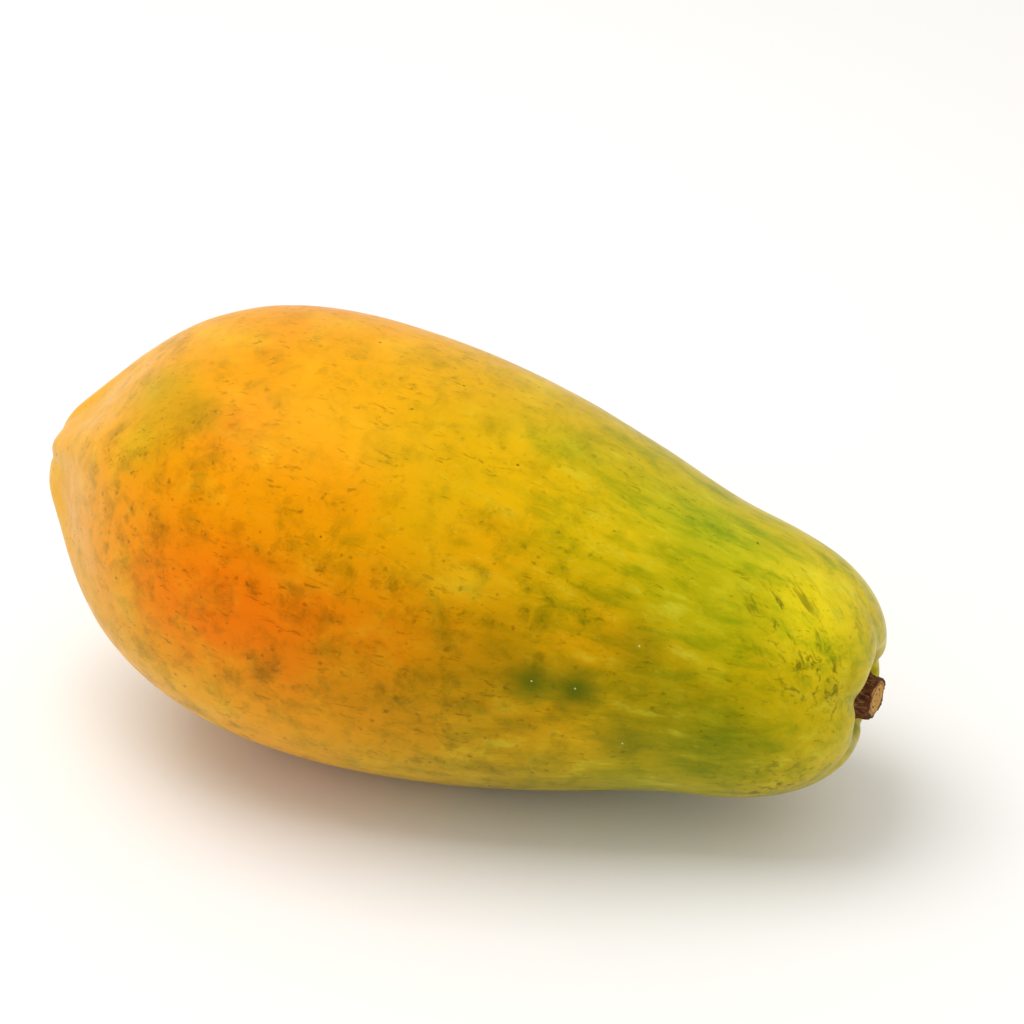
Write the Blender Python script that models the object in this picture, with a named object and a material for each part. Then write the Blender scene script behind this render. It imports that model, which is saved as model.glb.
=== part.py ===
"""A ripe papaya lying on its side, with the dried stub of the stalk that it was cut from.

Two pieces: the fruit, which grew as one solid, and the stub, which sits in the pit of the stem end.
The fruit's long axis runs along X, with the blossom end at -X and the stem end at +X. It lies on its
belly and leans towards the stem end, as its own weight makes it, on a small flat rest spot at Z = 0.
"""

import math

import bmesh
import bpy
from mathutils import Matrix, Vector

# Driving dimensions, in metres and degrees.
MM = 0.001
LEAN = 7.5  # how far the long axis dips towards the stem end, as the fruit balances
REST_SPOT_DEPTH = 1.5 * MM  # how much the belly flattens where it carries the fruit
SEAT_GAP = 0.3 * MM  # clearance between the stub and the pit that holds it

# The fruit's outline, turned about its long axis: (distance from the blossom end, radius).
FRUIT_OUTLINE = [
    (1.2 * MM, 0.0),  # middle of the blossom scar
    (0.8 * MM, 2.6 * MM),
    (0.0, 5.2 * MM),  # rim of the scar
    (1.5 * MM, 9.8 * MM),
    (4.4 * MM, 13.6 * MM),
    (8.1 * MM, 17.2 * MM),  # waist of the nose
    (12.2 * MM, 22.0 * MM),
    (17.3 * MM, 28.8 * MM),
    (24.8 * MM, 37.6 * MM),
    (35.8 * MM, 47.2 * MM),
    (51.8 * MM, 55.6 * MM),
    (71.8 * MM, 60.4 * MM),
    (92.8 * MM, 61.2 * MM),  # widest part of the belly
    (116.8 * MM, 59.4 * MM),
    (141.8 * MM, 55.0 * MM),
    (166.8 * MM, 48.4 * MM),
    (189.8 * MM, 41.2 * MM),  # waist of the neck
    (209.8 * MM, 37.0 * MM),
    (222.8 * MM, 32.6 * MM),
    (231.8 * MM, 26.6 * MM),
    (237.0 * MM, 19.6 * MM),
    (238.4 * MM, 15.2 * MM),  # crest round the stem pit
    (237.4 * MM, 12.8 * MM),
    (235.0 * MM, 11.4 * MM),
    (232.8 * MM, 10.6 * MM),
    (232.0 * MM, 9.4 * MM),  # foot of the pit's wall
    (232.0 * MM, 5.0 * MM),
    (232.0 * MM, 0.0),
]
FRUIT_AROUND = 80  # faces round the fruit
FRUIT_STEP = 5.6 * MM  # greatest length of a face along the outline

# Five soft ridges run from the nose over the blossom end. Angles start at the front, -Y, and rise.
RIDGES = 5
FIRST_RIDGE = 40.0
RIDGE_HEIGHT = 1.5 * MM
RIDGE_PEAK = 26 * MM  # along the skin from the scar, where the ridges stand highest
RIDGE_FADE = 48 * MM
BODY_RIDGE_HEIGHT = 0.45 * MM  # what is left of the ridges over the belly and neck

# Five furrows pucker the skin into the stem pit: (angle, share of the full depth).
FURROWS = [(27.0, 0.9), (97.0, 0.4), (176.0, 0.8), (243.0, 0.7), (314.0, 0.6)]
FURROW_DEPTH = 1.7 * MM
FURROW_REACH = 34 * MM  # from the crest back along the shoulder
FURROW_WIDTH = 13.0  # at the crest
FURROW_SPREAD = 15.0  # how much wider a furrow is at the end of its reach

# The fruit isn't quite straight: its middle stands this far in front of the line through its ends.
BOW = 1.6 * MM

# The stub's outline, turned about its own axis: (height over the seat, radius).
STUB_OUTLINE = [
    (0.0, 0.0),
    (0.0, 4.6 * MM),
    (0.3 * MM, 7.0 * MM),
    (1.3 * MM, 8.1 * MM),  # foot with the dried sepals
    (2.4 * MM, 7.7 * MM),
    (3.4 * MM, 6.6 * MM),
    (4.8 * MM, 5.9 * MM),
    (6.6 * MM, 5.7 * MM),
    (8.4 * MM, 5.5 * MM),  # edge of the cut
    (8.7 * MM, 4.8 * MM),
    (8.3 * MM, 3.0 * MM),
    (8.1 * MM, 1.4 * MM),
    (8.4 * MM, 0.0),  # pith
]
STUB_AROUND = 40
STUB_STEP = 3.0 * MM
STUB_FLUTES = 5
STUB_TURN = 12.0
SEPAL_REACH = 0.11  # share by which a sepal stands out of the foot
FLUTE_DEPTH = 0.07  # share of the radius between two flutes of the stalk
STUB_LEAN = 10.0  # the stalk bends over from its foot, towards STUB_LEAN_SIDE
STUB_LEAN_SIDE = 35.0
STUB_BEND = (1.0 * MM, 5.0 * MM)  # heights at which the bend starts and ends


def smooth_step(value, low, high):
    """0 below low, 1 above high, and an even curve between them."""
    share = min(max((value - low) / (high - low), 0.0), 1.0)
    return share * share * (3.0 - 2.0 * share)


def turn_from(angle, start):
    """The smallest turn from start to angle, in degrees."""
    return (angle - start + 180.0) % 360.0 - 180.0


def curve_point(before, start, end, after, share):
    """A point between start and end on the smooth curve through the four (Catmull-Rom)."""
    total = Vector((0.0, 0.0))
    total += before * (-share + 2 * share**2 - share**3)
    total += start * (2 - 5 * share**2 + 3 * share**3)
    total += end * (share + 4 * share**2 - 3 * share**3)
    total += after * (-(share**2) + share**3)
    return total / 2


def smooth_outline(points, longest):
    """The outline's points, with more between them so that no step is much over longest."""
    known = [Vector(point) for point in points]
    first = Vector((known[1].x, -known[1].y))
    last = Vector((known[-2].x, -known[-2].y))
    ends = [first, *known, last]
    smooth = []
    for before, start, end, after in zip(ends, ends[1:], ends[2:], ends[3:]):
        steps = max(1, round((end - start).length / longest))
        for step in range(steps):
            smooth.append(curve_point(before, start, end, after, step / steps))
    smooth.append(known[-1])
    return smooth


def outline_facts(outline):
    """(point, outward normal, distance along the outline) for each point."""
    facts = []
    distance = 0.0
    for index, point in enumerate(outline):
        if index:
            distance += (point - outline[index - 1]).length
        ahead = outline[min(index + 1, len(outline) - 1)]
        behind = outline[max(index - 1, 0)]
        tangent = (ahead - behind).normalized()
        facts.append((point, Vector((-tangent.y, tangent.x)), distance))
    return facts


def turned_mesh(name, outline, around, place):
    """A closed mesh turned about X. place gives each point from its outline facts and its angle."""
    shape = bmesh.new()
    facts = outline_facts(outline)
    low_pole = shape.verts.new(place(*facts[0], 0.0))
    high_pole = shape.verts.new(place(*facts[-1], 0.0))
    rings = []
    for point, normal, distance in facts[1:-1]:
        ring = []
        for step in range(around):
            ring.append(shape.verts.new(place(point, normal, distance, 360.0 * step / around)))
        rings.append(ring)
    for low, high in zip(rings, rings[1:]):
        for step in range(around):
            after = (step + 1) % around
            shape.faces.new((low[step], high[step], high[after], low[after]))
    for step in range(around):
        after = (step + 1) % around
        shape.faces.new((low_pole, rings[0][step], rings[0][after]))
        shape.faces.new((high_pole, rings[-1][after], rings[-1][step]))
    bmesh.ops.recalc_face_normals(shape, faces=shape.faces)
    mesh = bpy.data.meshes.new(name)
    shape.to_mesh(mesh)
    shape.free()
    return mesh


def round_x(along, radius, angle):
    """The point at this distance along X and this radius, turned from -Y up towards +Z."""
    turn = math.radians(angle)
    return Vector((along, -radius * math.cos(turn), radius * math.sin(turn)))


def ridge_height(distance, crest, angle):
    """How far the skin stands out on a ridge, or in between two, at this distance from the scar."""
    rise = smooth_step(distance, 3 * MM, RIDGE_PEAK)
    fade = math.exp(-max(distance - RIDGE_PEAK, 0.0) / RIDGE_FADE)
    height = rise * (BODY_RIDGE_HEIGHT + (RIDGE_HEIGHT - BODY_RIDGE_HEIGHT) * fade)
    height *= 1.0 - smooth_step(distance, crest - FURROW_REACH, crest)
    turn = math.radians(RIDGES * (angle - FIRST_RIDGE))
    return height * (math.cos(turn) + 0.25 * math.cos(2 * turn))


def furrow_depth(distance, crest, angle):
    """How deep the skin is drawn in by the furrows, before and after the crest of the stem pit."""
    back = max(crest - distance, 0.0) / FURROW_REACH
    inside = max(distance - crest, 0.0) / (9 * MM)
    if back >= 1.0 or inside >= 1.0:
        return 0.0
    depth = FURROW_DEPTH * (1.0 - back) ** 2 * (1.0 - smooth_step(inside, 0.2, 1.0))
    width = FURROW_WIDTH + FURROW_SPREAD * back
    pull = 0.0
    for middle, share in FURROWS:
        pull += share * math.exp(-((turn_from(angle, middle) / width) ** 2))
    return depth * pull


def fruit_mesh():
    """The whole fruit in its own frame: the long axis on X, the blossom end at 0."""
    outline = smooth_outline(FRUIT_OUTLINE, FRUIT_STEP)
    length = max(point.x for point in outline)
    crest = next(distance for point, _, distance in outline_facts(outline) if point.x == length)

    def place(point, normal, distance, angle):
        out = ridge_height(distance, crest, angle) - furrow_depth(distance, crest, angle)
        at = point + normal * out
        bow = BOW * math.sin(math.pi * min(max(at.x / length, 0.0), 1.0))
        return round_x(at.x, max(at.y, 0.0), angle) + Vector((0.0, -bow, 0.0))

    return turned_mesh("fruit", outline, FRUIT_AROUND, place)


def stub_mesh():
    """The stalk's stub in its own frame: its axis on X, its underside at 0."""
    outline = smooth_outline(STUB_OUTLINE, STUB_STEP)

    def place(point, normal, distance, angle):
        turn = math.radians(STUB_FLUTES * (angle - STUB_TURN))
        foot = 1.0 - smooth_step(point.x, 1.5 * MM, 4.5 * MM)
        flute = FLUTE_DEPTH * (1.0 - foot) + SEPAL_REACH * foot * smooth_step(point.x, 0.0, 1.0 * MM)
        radius = point.y * (1.0 + flute * math.cos(turn))
        return round_x(point.x, radius, angle)

    return turned_mesh("stem_stub", outline, STUB_AROUND, place)


def bend_stub(mesh):
    """Bends the stalk over above its foot, so that the underside stays flat on the seat."""
    side = round_x(0.0, 1.0, STUB_LEAN_SIDE)
    turn_axis = Vector((1.0, 0.0, 0.0)).cross(side)
    start, end = STUB_BEND
    pivot = Vector((start, 0.0, 0.0))
    for vertex in mesh.vertices:
        turn = math.radians(STUB_LEAN) * smooth_step(vertex.co.x, start, end)
        vertex.co = pivot + Matrix.Rotation(turn, 3, turn_axis) @ (vertex.co - pivot)


def lay_down(mesh, placing, flatten=False):
    """Puts the mesh where it lies, and presses what would be under the surface flat on it."""
    mesh.transform(placing)
    for vertex in mesh.vertices:
        if flatten:
            vertex.co.z = max(vertex.co.z, 0.0)


def material(name, colour, roughness):
    """A plain skin or wood finish."""
    made = bpy.data.materials.new(name)
    made.use_nodes = True
    shader = made.node_tree.nodes["Principled BSDF"]
    shader.inputs["Base Color"].default_value = (*colour, 1.0)
    shader.inputs["Roughness"].default_value = roughness
    shader.inputs["Metallic"].default_value = 0.0
    made.diffuse_color = (*colour, 1.0)
    return made


def add_piece(name, mesh, finish, parent):
    """The named object of one piece, shaded smooth."""
    piece = bpy.data.objects.new(name, mesh)
    bpy.context.scene.collection.objects.link(piece)
    piece.parent = parent
    mesh.materials.append(finish)
    mesh.shade_smooth()
    return piece


def main():
    for existing in list(bpy.data.objects):
        bpy.data.objects.remove(existing)

    fruit = fruit_mesh()
    stub = stub_mesh()
    bend_stub(stub)
    pit_floor = FRUIT_OUTLINE[-1][0]
    stub.transform(Matrix.Translation((pit_floor + SEAT_GAP, 0.0, 0.0)))

    # Lay the fruit over, and lower it until the belly would sink by the depth of the rest spot.
    tilt = Matrix.Rotation(math.radians(LEAN), 4, "Y")
    lowest = min((tilt @ vertex.co).z for vertex in fruit.vertices)
    placing = Matrix.Translation((0.0, 0.0, -lowest - REST_SPOT_DEPTH)) @ tilt
    lay_down(fruit, placing, flatten=True)
    lay_down(stub, placing)

    # The origin is the middle of the whole papaya's footprint, on the surface.
    corners = [vertex.co for mesh in (fruit, stub) for vertex in mesh.vertices]
    middle_x = (min(corner.x for corner in corners) + max(corner.x for corner in corners)) / 2
    middle_y = (min(corner.y for corner in corners) + max(corner.y for corner in corners)) / 2
    papaya = bpy.data.objects.new("papaya", None)
    bpy.context.scene.collection.objects.link(papaya)
    papaya.location = (-middle_x, -middle_y, 0.0)

    add_piece("fruit", fruit, material("papaya_skin", (0.83, 0.45, 0.03), 0.42), papaya)
    add_piece("stem_stub", stub, material("dried_stalk", (0.28, 0.16, 0.08), 0.85), papaya)


main()
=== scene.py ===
"""The looks of a ripe papaya that lies on its side: its mottled skin and the dried stub of its stalk."""

import math

import bpy
from mathutils import Matrix, Vector, noise
from mathutils.bvhtree import BVHTree


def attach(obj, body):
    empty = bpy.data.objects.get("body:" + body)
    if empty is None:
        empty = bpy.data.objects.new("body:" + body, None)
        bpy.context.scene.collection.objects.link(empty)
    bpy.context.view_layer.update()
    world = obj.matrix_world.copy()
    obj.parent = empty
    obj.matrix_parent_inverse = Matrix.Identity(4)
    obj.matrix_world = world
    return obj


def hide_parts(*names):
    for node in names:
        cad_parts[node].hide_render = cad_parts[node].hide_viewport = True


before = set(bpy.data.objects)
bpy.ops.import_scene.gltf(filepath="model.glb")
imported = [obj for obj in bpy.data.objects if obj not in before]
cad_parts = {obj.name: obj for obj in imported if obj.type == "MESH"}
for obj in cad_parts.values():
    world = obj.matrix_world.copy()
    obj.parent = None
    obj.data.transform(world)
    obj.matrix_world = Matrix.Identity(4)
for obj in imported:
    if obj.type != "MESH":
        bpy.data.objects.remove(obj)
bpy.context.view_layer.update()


# ---------------------------------------------------------------------------------------------------
# The skin: the whole outside of the fruit, thin, waxy and tight over the flesh. It grew in one piece,
# with five soft ridges that run out over the belly, a lobed nose round the blossom scar, and furrows
# where it puckers into the pit that the stalk sits in.

MM = 0.001
LEAN = 7.5  # degrees that the fruit's long axis dips towards the stem end
SKIN_SUBDIVISIONS = 2

SWELL_SIZE = 38 * MM  # broad unevenness of a fruit that wasn't turned on a lathe
SWELL_HEIGHT = 0.35 * MM
DIMPLE_SIZE = 11 * MM
DIMPLE_HEIGHT = 0.09 * MM

NOSE_CREASES = 5
NOSE_CREASE_TURN = 14.0
NOSE_CREASE_DEPTH = 0.55 * MM
NOSE_CREASE_REACH = 15 * MM  # from the scar along the fruit
NOSE_CREASE_WIDTH = 13.0  # degrees

PIT_CREASES = [(27.0, 1.0), (97.0, 0.8), (176.0, 0.9), (243.0, 0.7), (314.0, 1.0)]
PIT_CREASE_DEPTH = 0.35 * MM
PIT_CREASE_REACH = 30 * MM  # from the crest of the pit back over the shoulder
PIT_CREASE_WIDTH = 3.2 * MM


def deselect_all():
    """Leaves no object selected, so that an operator acts on the new piece only."""
    for other in bpy.context.selected_objects:
        other.select_set(False)


def pick(piece):
    """Makes the piece the only one selected, and active."""
    deselect_all()
    piece.select_set(True)
    bpy.context.view_layer.objects.active = piece


def copy_of_node(node, name):
    """A copy of a CAD node under a new name, with its loose triangles merged into quads."""
    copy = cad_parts[node].copy()
    copy.data = copy.data.copy()
    copy.name = name
    copy.data.name = name
    copy.parent = None
    copy.matrix_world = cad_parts[node].matrix_world.copy()
    copy.data.materials.clear()
    bpy.context.scene.collection.objects.link(copy)
    copy.hide_render = False
    copy.hide_set(False)
    pick(copy)
    bpy.ops.object.mode_set(mode="EDIT")
    bpy.ops.mesh.select_all(action="SELECT")
    bpy.ops.mesh.remove_doubles(threshold=0.00001)
    bpy.ops.mesh.tris_convert_to_quads(face_threshold=math.pi, shape_threshold=math.pi)
    bpy.ops.mesh.normals_make_consistent(inside=False)
    bpy.ops.object.mode_set(mode="OBJECT")
    return copy


def subdivide(piece, levels):
    """Gives the piece smooth, finer faces for good."""
    finer = piece.modifiers.new("finer", "SUBSURF")
    finer.levels = levels
    finer.render_levels = levels
    pick(piece)
    bpy.ops.object.modifier_apply(modifier=finer.name)
    bpy.ops.object.shade_smooth()


def smooth_step(value, low, high):
    """0 at low, 1 at high, and an even curve between them."""
    share = min(max((value - low) / (high - low), 0.0), 1.0)
    return share * share * (3.0 - 2.0 * share)


def turn_between(angle, other):
    """The smallest turn between two angles, in degrees."""
    return abs((angle - other + 180.0) % 360.0 - 180.0)


skin = copy_of_node("fruit", "papaya_skin")
subdivide(skin, SKIN_SUBDIVISIONS)

# The fruit's own frame: the nose at 0, the long axis along X, and the front towards -Y.
upright = Matrix.Rotation(-math.radians(LEAN), 4, "Y")
turned = [upright @ vertex.co for vertex in skin.data.vertices]
nose_at = min(point.x for point in turned)
stem_at = max(point.x for point in turned)
axis_height = (min(point.z for point in turned) + max(point.z for point in turned)) / 2
axis_side = (min(point.y for point in turned) + max(point.y for point in turned)) / 2
into_fruit = Matrix.Translation((-nose_at, -axis_side, -axis_height)) @ upright
fruit_length = stem_at - nose_at


def fruit_angle(point):
    """Degrees round the long axis, from the front up over the top, for a point in the fruit's frame."""
    return math.degrees(math.atan2(point.z, -point.y)) % 360.0


def nose_crease(point, angle):
    """How deep the creases between the nose's lobes are at a point of the fruit."""
    if point.x > NOSE_CREASE_REACH:
        return 0.0
    nearest = turn_between((angle - NOSE_CREASE_TURN) * NOSE_CREASES, 0.0) / NOSE_CREASES
    fade = 1.0 - smooth_step(point.x, 0.0, NOSE_CREASE_REACH)
    return NOSE_CREASE_DEPTH * fade * math.exp(-((nearest / NOSE_CREASE_WIDTH) ** 2))


def pit_crease(point, angle):
    """How deep the sharp lines at the bottom of the stem end's furrows are at a point of the fruit."""
    back = (fruit_length - point.x) / PIT_CREASE_REACH
    if back > 1.0:
        return 0.0
    radius = math.hypot(point.y, point.z)
    depth = 0.0
    for middle, share in PIT_CREASES:
        away = math.radians(turn_between(angle, middle)) * radius
        width = PIT_CREASE_WIDTH * (0.55 + 0.9 * back)
        depth += share * math.exp(-((away / width) ** 2))
    return PIT_CREASE_DEPTH * (1.0 - back) ** 2 * depth * smooth_step(radius, 9 * MM, 13 * MM)


normals = [vertex.normal.copy() for vertex in skin.data.vertices]
for vertex, normal in zip(skin.data.vertices, normals):
    point = into_fruit @ vertex.co
    angle = fruit_angle(point)
    out = SWELL_HEIGHT * noise.noise(point / SWELL_SIZE)
    out += DIMPLE_HEIGHT * noise.noise(point / DIMPLE_SIZE)
    out *= smooth_step(vertex.co.z, 0.0, 5 * MM) * smooth_step(fruit_length - point.x, 4 * MM, 20 * MM)
    out -= nose_crease(point, angle) + pit_crease(point, angle)
    vertex.co += normal * out

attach(skin, "root")
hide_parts("fruit")


def feed(tree, socket, value):
    """Links another node's output into the socket, or sets the socket's own value."""
    if isinstance(value, bpy.types.NodeSocket):
        tree.links.new(value, socket)
    elif isinstance(value, str):
        socket.default_value = colour(value)
    else:
        socket.default_value = value


def colour(code):
    """The linear colour of a screen colour such as "F5A800"."""
    parts = [int(code[start : start + 2], 16) / 255 for start in (0, 2, 4)]
    linear = [part / 12.92 if part <= 0.04045 else ((part + 0.055) / 1.055) ** 2.4 for part in parts]
    return (*linear, 1.0)


def maths(tree, operation, first, second=0.0, clamp=False):
    """One step of arithmetic on numbers."""
    made = tree.nodes.new("ShaderNodeMath")
    made.operation = operation
    made.use_clamp = clamp
    feed(tree, made.inputs[0], first)
    feed(tree, made.inputs[1], second)
    return made.outputs[0]


def vector_maths(tree, operation, first, second):
    """One step of arithmetic on vectors."""
    made = tree.nodes.new("ShaderNodeVectorMath")
    made.operation = operation
    feed(tree, made.inputs[0], first)
    feed(tree, made.inputs[1], second)
    return made.outputs["Value" if operation in ("LENGTH", "DISTANCE", "DOT_PRODUCT") else "Vector"]


def soft_range(tree, value, low, high, start=0.0, end=1.0):
    """The value carried from low..high to start..end along an even curve."""
    made = tree.nodes.new("ShaderNodeMapRange")
    made.interpolation_type = "SMOOTHSTEP"
    for name, given in (("Value", value), ("From Min", low), ("From Max", high)):
        feed(tree, made.inputs[name], given)
    for name, given in (("To Min", start), ("To Max", end)):
        feed(tree, made.inputs[name], given)
    return made.outputs["Result"]


def mix(tree, share, first, second, blend="MIX"):
    """The second colour laid over the first by that share."""
    made = tree.nodes.new("ShaderNodeMix")
    made.data_type = "RGBA"
    made.blend_type = blend
    feed(tree, made.inputs[0], share)
    feed(tree, made.inputs[6], first)
    feed(tree, made.inputs[7], second)
    return made.outputs[2]


def cloud(tree, place, size, detail=2.0, roughness=0.5, distortion=0.0):
    """Soft three-dimensional noise, about 0 to 1, whose lumps are about this size."""
    made = tree.nodes.new("ShaderNodeTexNoise")
    feed(tree, made.inputs["Vector"], place)
    made.inputs["Scale"].default_value = 1.0 / size
    made.inputs["Detail"].default_value = detail
    made.inputs["Roughness"].default_value = roughness
    made.inputs["Distortion"].default_value = distortion
    return made


def group_socket(group, name, kind, output=False, value=None):
    """A named input or output of a shader group."""
    made = group.interface.new_socket(name, in_out="OUTPUT" if output else "INPUT", socket_type=kind)
    if value is not None:
        made.default_value = value
    return made


def speckle_group():
    """Scattered soft spots: a mask that is 1 in the middle of each spot and 0 between them."""
    group = bpy.data.node_groups.new("speckles", "ShaderNodeTree")
    group_socket(group, "Place", "NodeSocketVector")
    group_socket(group, "Spacing", "NodeSocketFloat", value=5 * MM)
    group_socket(group, "Radius", "NodeSocketFloat", value=1 * MM)
    group_socket(group, "Share", "NodeSocketFloat", value=0.5)
    group_socket(group, "Raggedness", "NodeSocketFloat", value=0.5)
    group_socket(group, "Mask", "NodeSocketFloat", output=True)
    given = group.nodes.new("NodeGroupInput")
    ragged = cloud(group, given.outputs["Place"], 1.0 * MM, detail=3.0, roughness=0.6)
    ragged.inputs["Scale"].default_value = 1.0 / (1.4 * MM)
    shift = vector_maths(group, "SUBTRACT", ragged.outputs["Color"], (0.5, 0.5, 0.5))
    reach = maths(group, "MULTIPLY", given.outputs["Raggedness"], given.outputs["Radius"])
    scaled = group.nodes.new("ShaderNodeVectorMath")
    scaled.operation = "SCALE"
    feed(group, scaled.inputs[0], shift)
    feed(group, scaled.inputs["Scale"], maths(group, "MULTIPLY", reach, 4.0))
    place = vector_maths(group, "ADD", given.outputs["Place"], scaled.outputs[0])
    cells = group.nodes.new("ShaderNodeTexVoronoi")
    feed(group, cells.inputs["Vector"], place)
    feed(group, cells.inputs["Scale"], maths(group, "DIVIDE", 1.0, given.outputs["Spacing"]))
    chance = group.nodes.new("ShaderNodeSeparateColor")
    feed(group, chance.inputs[0], cells.outputs["Color"])
    size = soft_range(group, chance.outputs[1], 0.0, 1.0, 0.45, 1.3)
    radius = maths(group, "DIVIDE", maths(group, "MULTIPLY", given.outputs["Radius"], size), given.outputs["Spacing"])
    inner = maths(group, "MULTIPLY", radius, 0.25)
    spot = soft_range(group, cells.outputs["Distance"], radius, inner)
    there = maths(group, "LESS_THAN", chance.outputs[0], given.outputs["Share"])
    result = group.nodes.new("NodeGroupOutput")
    feed(group, result.inputs["Mask"], maths(group, "MULTIPLY", spot, there))
    return group


def patch_group():
    """A soft round or long patch of colour laid on the skin about one place."""
    group = bpy.data.node_groups.new("colour_patch", "ShaderNodeTree")
    group_socket(group, "Colour", "NodeSocketColor")
    group_socket(group, "Place", "NodeSocketVector")
    group_socket(group, "Middle", "NodeSocketVector")
    group_socket(group, "Reach", "NodeSocketVector", value=(0.01, 0.01, 0.01))
    group_socket(group, "Patch Colour", "NodeSocketColor")
    group_socket(group, "Strength", "NodeSocketFloat", value=1.0)
    group_socket(group, "Colour", "NodeSocketColor", output=True)
    given = group.nodes.new("NodeGroupInput")
    away = vector_maths(group, "SUBTRACT", given.outputs["Place"], given.outputs["Middle"])
    away = vector_maths(group, "DIVIDE", away, given.outputs["Reach"])
    distance = vector_maths(group, "LENGTH", away, (0.0, 0.0, 0.0))
    inside = soft_range(group, distance, 1.0, 0.1)
    share = maths(group, "MULTIPLY", inside, given.outputs["Strength"])
    result = group.nodes.new("NodeGroupOutput")
    laid = mix(group, share, given.outputs[0], given.outputs["Patch Colour"])
    feed(group, result.inputs[0], laid)
    return group


def use_group(tree, group, **inputs):
    """Places a shader group in a material. An input's name has _ for each space."""
    made = tree.nodes.new("ShaderNodeGroup")
    made.node_tree = group
    for name, value in inputs.items():
        feed(tree, made.inputs[name.replace("_", " ")], value)
    return made.outputs[0]


SPECKLES = speckle_group()
PATCH = patch_group()

# The skin's ground colours from the nose to the stem end, in mm along the fruit: over the top, along
# the side and underneath. The blossom end ripens first, so the colour runs from orange to green. The
# ones underneath are darker partly from the fruit's own colour and partly as painted shade.
TOP_COLOURS = [
    (0, "E8B61E"),
    (30, "E8A104"),
    (65, "E59602"),
    (95, "E6A302"),
    (125, "D5A503"),
    (155, "CAAB05"),
    (185, "BAAC08"),
    (215, "CEB912"),
    (236, "DCC014"),
]
SIDE_COLOURS = [
    (0, "E7A60E"),
    (30, "E69C02"),
    (60, "E19402"),
    (95, "E07D02"),
    (120, "DB7F02"),
    (145, "C68A02"),
    (175, "CC9E02"),
    (205, "BAA103"),
    (236, "CEB60E"),
]
# Underneath: the fruit's own colour, darkened in part as painted shade.
UNDER_COLOURS_WITH_PAINTED_SHADE = [
    (0, "E3AE18"),
    (40, "E7AB08"),
    (90, "E49F04"),
    (125, "C69B03"),
    (155, "B29603"),
    (185, "A39B05"),
    (236, "BAA418"),
]

# Patches that ripened early or late: (mm along, degrees round from the front, reach along and round
# in mm, colour, strength).
PATCHES = [
    # orange and red blushes of the ripe end
    (60, 17, 48, 44, "F08801", 0.7),
    (68, 9, 32, 27, "EF6F01", 0.65),
    (86, 12, 26, 25, "EA6901", 0.45),
    (60, 55, 26, 14, "E47F02", 0.5),
    (92, 45, 30, 22, "E98A02", 0.5),
    # late olive patches round the nose
    (36, 66, 22, 14, "B89603", 0.75),
    (52, 58, 16, 12, "B08A03", 0.65),
    (40, 48, 24, 15, "BA9303", 0.6),
    # yellow middle
    (140, 70, 26, 30, "E6B104", 0.6),
    (138, 44, 24, 18, "DF9E02", 0.6),
    # brown olive of the lower belly, and the brown band before the neck
    (128, -2, 44, 24, "BC8B03", 0.5),
    (150, 10, 26, 22, "9C7A03", 0.5),
    (172, 28, 30, 12, "DA9C04", 0.55),
    # green patches and the lime neck
    (148, 84, 22, 13, "A8A80B", 0.55),
    (168, 66, 34, 18, "D6B408", 0.6),
    # This pale lime patch on the neck's upper flank is partly the neck's own colour and partly a painted highlight.
    (190, 80, 40, 22, "B2B414", 0.65),
    (196, 50, 34, 18, "A2A208", 0.6),
    (222, 72, 20, 24, "EED81C", 0.7),
    (188, 12, 38, 20, "918505", 0.65),
    (206, -6, 34, 22, "6C7E09", 0.6),
    (186, -30, 30, 14, "94910C", 0.5),
]

ground = bpy.data.materials.new("papaya_skin")
ground.use_nodes = True
tree = ground.node_tree
coordinates = tree.nodes.new("ShaderNodeTexCoord")
into_frame = tree.nodes.new("ShaderNodeMapping")
into_frame.vector_type = "POINT"
feed(tree, into_frame.inputs["Vector"], coordinates.outputs["Object"])
into_frame.inputs["Rotation"].default_value = into_fruit.to_euler()
into_frame.inputs["Location"].default_value = into_fruit.to_translation()
place = into_frame.outputs["Vector"]

# Patches and speckles get uneven edges from a place that wanders.
wander = cloud(tree, place, 16 * MM, detail=3.0, roughness=0.6)
wander_by = vector_maths(tree, "SUBTRACT", wander.outputs["Color"], (0.5, 0.5, 0.5))
wander_by = vector_maths(tree, "MULTIPLY", wander_by, (16 * MM, 12 * MM, 12 * MM))
wandering = vector_maths(tree, "ADD", place, wander_by)
parts = tree.nodes.new("ShaderNodeSeparateXYZ")
feed(tree, parts.inputs[0], wandering)
along_share = maths(tree, "DIVIDE", parts.outputs["X"], fruit_length)


def ramp(tree, share, stops):
    """The colour along the fruit through (mm, colour) stops."""
    made = tree.nodes.new("ShaderNodeValToRGB")
    feed(tree, made.inputs[0], share)
    bar = made.color_ramp.elements
    while len(bar) < len(stops):
        bar.new(0.5)
    for element, (at, code) in zip(bar, stops):
        element.position = at * MM / fruit_length
        element.color = colour(code)
    return made.outputs[0]


def on_skin(along, angle):
    """The point of the skin this many mm along the fruit and at this angle, in the fruit's frame."""
    turn = math.radians(angle)
    out = Vector((0.0, -math.cos(turn), math.sin(turn)))
    return skin_faces.ray_cast(Vector((along * MM, 0.0, 0.0)), out)[0]


skin_faces = BVHTree.FromPolygons(
    [into_fruit @ vertex.co for vertex in skin.data.vertices],
    [tuple(face.vertices) for face in skin.data.polygons],
)

height = soft_range(tree, parts.outputs["Z"], 12 * MM, 50 * MM)
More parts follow.
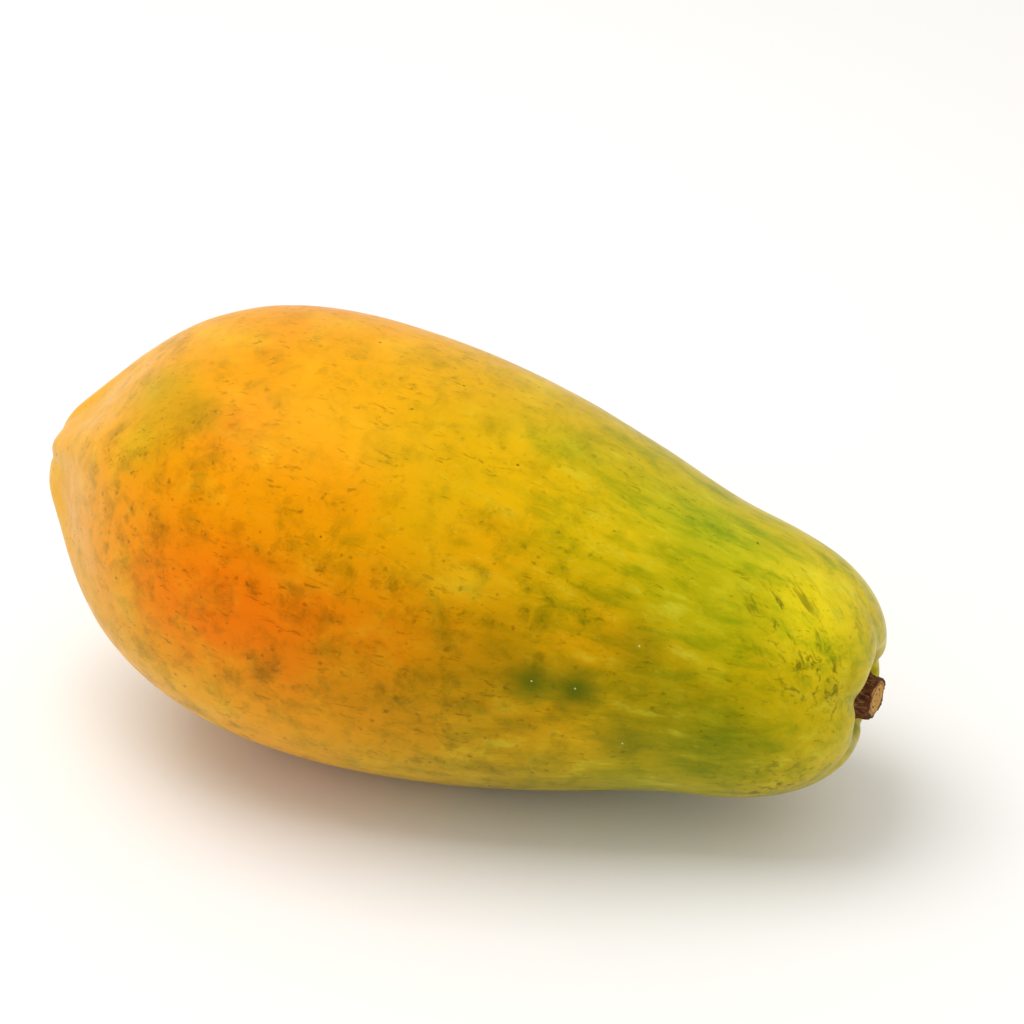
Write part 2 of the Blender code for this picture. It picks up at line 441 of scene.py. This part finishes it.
# Below the axis the under ramp takes over, darker partly as painted shade.
depth = soft_range(tree, parts.outputs["Z"], 8 * MM, -38 * MM)
tone = mix(tree, height, ramp(tree, along_share, SIDE_COLOURS), ramp(tree, along_share, TOP_COLOURS))
tone = mix(tree, depth, tone, ramp(tree, along_share, UNDER_COLOURS_WITH_PAINTED_SHADE))
for along, angle, reach, reach_round, code, strength in PATCHES:
    tone = use_group(
        tree, PATCH, Colour=tone, Place=wandering, Middle=on_skin(along, angle), Patch_Colour=code,
        Reach=(reach * MM, reach_round * MM, reach_round * MM), Strength=strength,
    )


def near(tree, where, middle, reach):
    """A mask that is 1 at this place of the skin and fades to 0 at this distance in mm."""
    away = vector_maths(tree, "DISTANCE", where, tuple(middle))
    return soft_range(tree, away, reach * MM, 0.0)


def times(tree, first, second):
    """The product of two numbers."""
    return maths(tree, "MULTIPLY", first, second)


# Blotches and freckles: cells that lost their green late or early, thicker over the belly than on top.
freckled = cloud(tree, place, 34 * MM, detail=1.0)
freckled = soft_range(tree, freckled.outputs["Fac"], 0.3, 0.6, 0.5, 1.0)
low_down = soft_range(tree, parts.outputs["Z"], 58 * MM, 25 * MM, 0.6, 1.0)
past_nose = soft_range(tree, parts.outputs["X"], 6 * MM, 34 * MM, 0.15, 1.0)
before_neck = soft_range(tree, parts.outputs["X"], 150 * MM, 190 * MM, 1.0, 0.4)
freckled = times(tree, times(tree, freckled, low_down), times(tree, past_nose, before_neck))

mottle = cloud(tree, place, 8 * MM, detail=5.0, roughness=0.62, distortion=0.4)
mottled = soft_range(tree, mottle.outputs["Fac"], 0.42, 0.74)
tone = mix(tree, times(tree, mottled, times(tree, freckled, 0.85)), tone, (0.56, 0.66, 0.3, 1.0), "MULTIPLY")
fleck = cloud(tree, place, 2.6 * MM, detail=4.0, roughness=0.7, distortion=0.5)
flecked = times(tree, soft_range(tree, fleck.outputs["Fac"], 0.5, 0.74), soft_range(tree, mottle.outputs["Fac"], 0.4, 0.6))
tone = mix(tree, times(tree, flecked, times(tree, freckled, 0.65)), tone, (0.5, 0.56, 0.3, 1.0), "MULTIPLY")

pale = cloud(tree, place, 20 * MM, detail=4.0, roughness=0.6)
paler = soft_range(tree, pale.outputs["Fac"], 0.5, 0.74, 0.0, 0.14)
tone = mix(tree, paler, tone, (1.0, 0.78, 0.03, 1.0), "SCREEN")

FRECKLES = [
    # (spacing, radius, share of the cells that have one, raggedness, darkening, strength)
    (12.0, 4.6, 0.65, 0.45, (0.52, 0.64, 0.32, 1.0), 0.55),
    (6.5, 2.2, 0.6, 0.5, (0.52, 0.60, 0.30, 1.0), 0.55),
    (3.2, 0.8, 0.5, 0.6, (0.44, 0.45, 0.28, 1.0), 0.7),
]
for spacing, radius, share, ragged, darkening, strength in FRECKLES:
    spots = use_group(
        tree, SPECKLES, Place=place, Spacing=spacing * MM, Radius=radius * MM, Share=share, Raggedness=ragged
    )
    tone = mix(tree, times(tree, spots, times(tree, freckled, strength)), tone, darkening, "MULTIPLY")

# Short dashes that run along the fruit, where the skin stretched as it grew.
long_place = vector_maths(tree, "MULTIPLY", place, (0.28, 1.0, 1.0))
dash = cloud(tree, long_place, 1.5 * MM, detail=4.0, roughness=0.65, distortion=0.6)
dash_zone = cloud(tree, place, 12 * MM, detail=2.0)
dashed = soft_range(tree, dash.outputs["Fac"], 0.56, 0.70)
dashed = times(tree, dashed, soft_range(tree, dash_zone.outputs["Fac"], 0.36, 0.6))
tone = mix(tree, times(tree, dashed, 0.85), tone, (0.52, 0.55, 0.32, 1.0), "MULTIPLY")
pale_dash = soft_range(tree, dash.outputs["Fac"], 0.40, 0.28)
pale_dash = times(tree, pale_dash, soft_range(tree, parts.outputs["X"], 90 * MM, 180 * MM, 0.04, 0.12))
tone = mix(tree, pale_dash, tone, (0.9, 0.74, 0.12, 1.0))

# Long green streaks on the neck, which ripens last, and a few paler ones between them.
streak_place = vector_maths(tree, "MULTIPLY", place, (0.16, 1.0, 1.0))
streak = cloud(tree, streak_place, 5.5 * MM, detail=5.0, roughness=0.62, distortion=0.3)
on_neck = soft_range(tree, parts.outputs["X"], 118 * MM, 178 * MM, 0.12, 1.0)
streaked = times(tree, soft_range(tree, streak.outputs["Fac"], 0.44, 0.7), on_neck)
tone = mix(tree, times(tree, streaked, 0.8), tone, (0.5, 0.7, 0.35, 1.0), "MULTIPLY")
light_streak = times(tree, soft_range(tree, streak.outputs["Fac"], 0.46, 0.26), on_neck)
tone = mix(tree, times(tree, light_streak, 0.4), tone, "D8D83C")

# A few dark pores, and pinheads of dried latex, each in the middle of a greener halo.
HALOS = [
    # (mm along, degrees, reach in mm, strength)
    (158, 11, 9.5, 0.85),
    (169, 11, 10.0, 0.9),
    (182, 30, 11.0, 0.35),
    (183, -9, 12.0, 0.4),
]
pores = use_group(tree, SPECKLES, Place=place, Spacing=8 * MM, Radius=0.55 * MM, Share=0.4, Raggedness=0.5)
tone = mix(tree, times(tree, pores, 0.75), tone, "4E3D06")
halos = use_group(tree, SPECKLES, Place=place, Spacing=30 * MM, Radius=8 * MM, Share=0.6, Raggedness=0.4)
tone = mix(tree, times(tree, halos, 0.4), tone, (0.45, 0.72, 0.3, 1.0), "MULTIPLY")
halo_place = vector_maths(tree, "ADD", place, vector_maths(tree, "MULTIPLY", wander_by, (0.3, 0.3, 0.3)))
for along, angle, reach, strength in HALOS:
    there = on_skin(along, angle)
    tone = mix(tree, times(tree, near(tree, halo_place, there, reach), strength), tone, "465C05")
    pin = soft_range(tree, vector_maths(tree, "DISTANCE", place, tuple(there)), 0.34 * MM, 0.2 * MM)
    tone = mix(tree, times(tree, pin, 0.5), tone, "F6EBC0")
pins = use_group(tree, SPECKLES, Place=place, Spacing=21 * MM, Radius=0.27 * MM, Share=0.25, Raggedness=0.1)
tone = mix(tree, times(tree, pins, 0.4), tone, "F2E4B0")

# Slanting scratches and bruises near the stem end, where it knocked against its neighbours.
SCUFFS = [(214, 60, 18, 1.0), (226, 40, 15, 1.0), (229, 24, 11, 0.9), (222, -30, 20, 0.9), (231, 84, 12, 0.4)]
SCUFF_TURN = 38.0  # degrees from the fruit's axis
scuff_axis = Vector((0.0, -0.6, 0.8))
slant = tree.nodes.new("ShaderNodeMapping")
slant.inputs["Rotation"].default_value = Matrix.Rotation(math.radians(SCUFF_TURN), 4, scuff_axis).to_euler()
feed(tree, slant.inputs["Vector"], place)
slanted = vector_maths(tree, "MULTIPLY", slant.outputs["Vector"], (0.22, 1.0, 1.0))
scuff = cloud(tree, slanted, 2.4 * MM, detail=5.0, roughness=0.65, distortion=0.5)
for along, angle, reach, strength in SCUFFS:
    zone = near(tree, wandering, on_skin(along, angle), reach)
    marks = times(tree, soft_range(tree, scuff.outputs["Fac"], 0.5, 0.66), times(tree, zone, strength))
    tone = mix(tree, marks, tone, "505806")

skin_shader = tree.nodes["Principled BSDF"]
feed(tree, skin_shader.inputs["Base Color"], tone)
gloss = cloud(tree, place, 4 * MM, detail=4.0, roughness=0.7)
feed(tree, skin_shader.inputs["Roughness"], soft_range(tree, gloss.outputs["Fac"], 0.25, 0.75, 0.27, 0.42))
skin_shader.inputs["Specular IOR Level"].default_value = 0.22
skin_shader.inputs["Specular Tint"].default_value = (1.0, 0.62, 0.1, 1.0)

# The peel is very finely pitted, with faint scratches along the fruit.
peel = cloud(tree, place, 0.8 * MM, detail=3.0, roughness=0.6)
grain = maths(tree, "ADD", peel.outputs["Fac"], times(tree, dash.outputs["Fac"], 1.2))
grain = maths(tree, "ADD", grain, times(tree, mottle.outputs["Fac"], 1.5))
grain = maths(tree, "SUBTRACT", grain, times(tree, pores, 1.0))
bump = tree.nodes.new("ShaderNodeBump")
bump.inputs["Strength"].default_value = 0.5
bump.inputs["Distance"].default_value = 0.12 * MM
feed(tree, bump.inputs["Height"], grain)
feed(tree, skin_shader.inputs["Normal"], bump.outputs["Normal"])
skin.data.materials.append(ground)


# ---------------------------------------------------------------------------------------------------
# The stub of the stalk: a short woody peduncle that dried and shrank after it was cut, with the
# withered sepals round its foot. It still sits in the pit where it grew into the fruit.

STUB_BEND = 10.0  # degrees that the stalk bends over from the fruit's axis, towards STUB_SIDE
STUB_SIDE = 35.0
WRINKLES = 34  # fine folds round the dried stalk
WRINKLE_DEPTH = 0.34 * MM
CRUMPLE_DEPTH = 1.2 * MM  # of the withered sepals round the foot
RING_DEPTH = 0.22 * MM  # of the wood's rings in the cut

stub = copy_of_node("stem_stub", "stalk_stub")
subdivide(stub, 3)
stub_normals = [vertex.normal.copy() for vertex in stub.data.vertices]
side_turn = math.radians(STUB_SIDE)
bend_axis = Vector((1.0, 0.0, 0.0)).cross(Vector((0.0, -math.cos(side_turn), math.sin(side_turn))))
stub_points = [into_fruit @ vertex.co for vertex in stub.data.vertices]
foot_at = min(point.x for point in stub_points)
foot_points = [point for point in stub_points if point.x < foot_at + 0.2 * MM]
foot_middle = sum(foot_points, Vector()) / len(foot_points)
unbend = Matrix.Rotation(-math.radians(STUB_BEND), 4, bend_axis)
into_stub = unbend @ Matrix.Translation(-foot_middle) @ into_fruit
stub_length = max((into_stub @ vertex.co).x for vertex in stub.data.vertices)

for vertex, normal in zip(stub.data.vertices, stub_normals):
    point = into_stub @ vertex.co
    angle = math.atan2(point.z, -point.y)
    radius = math.hypot(point.y, point.z)
    cut = smooth_step(point.x, stub_length - 0.9 * MM, stub_length - 0.3 * MM)
    foot = 1.0 - smooth_step(point.x, 2.0 * MM, 5.0 * MM)
    twist = noise.noise(point / (2.2 * MM))
    fold = math.sin(WRINKLES / 2 * angle + 2.6 * twist) + 0.5 * math.sin(WRINKLES * angle + 3.0 * twist)
    out = (1.0 - cut) * WRINKLE_DEPTH * fold * (0.6 + 0.7 * foot)
    out += foot * CRUMPLE_DEPTH * noise.noise(point / (1.7 * MM)) * smooth_step(point.x, 0.0, 1.5 * MM)
    out += 0.45 * MM * noise.noise(point / (2.6 * MM)) * (1.0 - cut)
    out += cut * RING_DEPTH * (0.7 * math.cos(radius / (0.9 * MM) * math.pi) - 0.6)
    out += cut * 0.2 * MM * noise.noise(point / (0.8 * MM))
    vertex.co += normal * out

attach(stub, "root")
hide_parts("stem_stub")

bark = bpy.data.materials.new("dried_stalk")
bark.use_nodes = True
bark_tree = bark.node_tree
coordinates = bark_tree.nodes.new("ShaderNodeTexCoord")
into_frame = bark_tree.nodes.new("ShaderNodeMapping")
feed(bark_tree, into_frame.inputs["Vector"], coordinates.outputs["Object"])
into_frame.inputs["Rotation"].default_value = into_stub.to_euler()
into_frame.inputs["Location"].default_value = into_stub.to_translation()
stub_place = into_frame.outputs["Vector"]
stub_parts = bark_tree.nodes.new("ShaderNodeSeparateXYZ")
feed(bark_tree, stub_parts.inputs[0], stub_place)
flat_place = vector_maths(bark_tree, "MULTIPLY", stub_place, (0.0, 1.0, 1.0))
cut_shake = cloud(bark_tree, stub_place, 1.6 * MM, detail=4.0, roughness=0.7)
stub_radius = vector_maths(bark_tree, "LENGTH", flat_place, (0.0, 0.0, 0.0))
shaken_radius = maths(bark_tree, "ADD", stub_radius, maths(bark_tree, "MULTIPLY", cut_shake.outputs["Fac"], 1.6 * MM))

# The dry rind: reddish brown folds, paler where they stand proud, and nearly black between them, which is
# painted shade; the colour follows the same noise as the bump.
fibre_place = vector_maths(bark_tree, "MULTIPLY", stub_place, (0.22, 1.0, 1.0))
fibre = cloud(bark_tree, fibre_place, 0.7 * MM, detail=5.0, roughness=0.7, distortion=0.5)
fibre_shade_ramp = bark_tree.nodes.new("ShaderNodeValToRGB")
feed(bark_tree, fibre_shade_ramp.inputs[0], fibre.outputs["Fac"])
bar = fibre_shade_ramp.color_ramp.elements
bar.new(0.5)
for element, (at, code) in zip(bar, [(0.32, "2B150A"), (0.52, "6E3F22"), (0.70, "B08457")]):
    element.position = at
    element.color = colour(code)
wood = fibre_shade_ramp.outputs[0]
stains = use_group(
    bark_tree, SPECKLES, Place=stub_place, Spacing=1.6 * MM, Radius=0.4 * MM, Share=0.5, Raggedness=0.9
)
wood = mix(bark_tree, maths(bark_tree, "MULTIPLY", stains, 0.6), wood, "241108")

# The cut: tan wood with a dark ring under the rind, rings inside it, and a paler pith.
rings = maths(bark_tree, "SINE", maths(bark_tree, "MULTIPLY", shaken_radius, 2 * math.pi / (1.5 * MM)))
ringed = soft_range(bark_tree, rings, -0.2, 1.0)
cut_wood = mix(bark_tree, ringed, "C99A4C", "8A5A24")
cut_wood = mix(bark_tree, soft_range(bark_tree, cut_shake.outputs["Fac"], 0.45, 0.7, 0.0, 0.6), cut_wood, "E0BC74")
cut_wood = mix(bark_tree, soft_range(bark_tree, shaken_radius, 5.1 * MM, 5.9 * MM), cut_wood, "5A3216")
on_cut = soft_range(bark_tree, stub_parts.outputs["X"], stub_length - 1.0 * MM, stub_length - 0.6 * MM)
wood = mix(bark_tree, on_cut, wood, cut_wood)

bark_shader = bark_tree.nodes["Principled BSDF"]
feed(bark_tree, bark_shader.inputs["Base Color"], wood)
bark_shader.inputs["Roughness"].default_value = 0.8
bark_shader.inputs["Specular IOR Level"].default_value = 0.25
bark_bump = bark_tree.nodes.new("ShaderNodeBump")
bark_bump.inputs["Strength"].default_value = 0.8
bark_bump.inputs["Distance"].default_value = 0.3 * MM
feed(bark_tree, bark_bump.inputs["Height"], fibre.outputs["Fac"])
feed(bark_tree, bark_shader.inputs["Normal"], bark_bump.outputs["Normal"])
stub.data.materials.append(bark)


# ---------------------------------------------------------------------------------------------------
# The surroundings: a white surface under a large soft lamp nearly overhead, in a white room, and a
# long lens that looks down on the fruit from the front.

bpy.context.scene.view_settings.view_transform = "Standard"

deselect_all()
bpy.ops.mesh.primitive_plane_add(size=8.0, location=(0.0, 0.0, 0.0))
floor = bpy.context.object
floor.name = "floor"
floor_finish = bpy.data.materials.new("white_surface")
floor_finish.use_nodes = True
floor_shader = floor_finish.node_tree.nodes["Principled BSDF"]
floor_shader.inputs["Base Color"].default_value = (0.9, 0.89, 0.88, 1.0)
floor_shader.inputs["Roughness"].default_value = 0.7
floor_shader.inputs["Specular IOR Level"].default_value = 0.2
floor.data.materials.append(floor_finish)

room = bpy.data.worlds.new("white_room")
room.use_nodes = True
room.node_tree.nodes["Background"].inputs["Color"].default_value = (1.0, 0.99, 0.97, 1.0)
room.node_tree.nodes["Background"].inputs["Strength"].default_value = 0.77
bpy.context.scene.world = room


def soft_lamp(name, place, aim, size, power, tint=(1.0, 1.0, 1.0)):
    """A square lamp at place that shines on aim."""
    lamp = bpy.data.lights.new(name, "AREA")
    lamp.shape = "RECTANGLE"
    lamp.size, lamp.size_y = size
    lamp.energy = power
    lamp.color = tint
    holder = bpy.data.objects.new(name, lamp)
    holder.location = place
    holder.rotation_euler = (Vector(aim) - Vector(place)).to_track_quat("-Z", "Y").to_euler()
    bpy.context.scene.collection.objects.link(holder)


soft_lamp("overhead", (-0.36, -0.06, 1.15), (0.0, 0.0, 0.05), (0.8, 0.8), 8.0)

VIEW_AZIMUTH = 20.9
VIEW_ELEVATION = 32.15
VIEW_DISTANCE = 1.0
LENS_SHARE = 3.5628  # focal length over the width of the picture
SHIFT_RIGHT = 0.0236  # of the picture's middle from the aim, in m
SHIFT_UP = 0.0102
aim = Vector((-0.009, 0.0, 0.062))
turn = math.radians(VIEW_AZIMUTH)
rise = math.radians(VIEW_ELEVATION)
back = Vector((math.sin(turn) * math.cos(rise), -math.cos(turn) * math.cos(rise), math.sin(rise)))
right = Vector((math.cos(turn), math.sin(turn), 0.0))
up = back.cross(right)
camera_data = bpy.data.cameras.new("camera")
camera_data.sensor_width = 36.0
camera_data.lens = 36.0 * LENS_SHARE
camera = bpy.data.objects.new("camera", camera_data)
bpy.context.scene.collection.objects.link(camera)
camera.location = aim + back * VIEW_DISTANCE
centre = aim + right * SHIFT_RIGHT + up * SHIFT_UP
camera.rotation_euler = (centre - camera.location).to_track_quat("-Z", "Y").to_euler()
bpy.context.scene.camera = camera
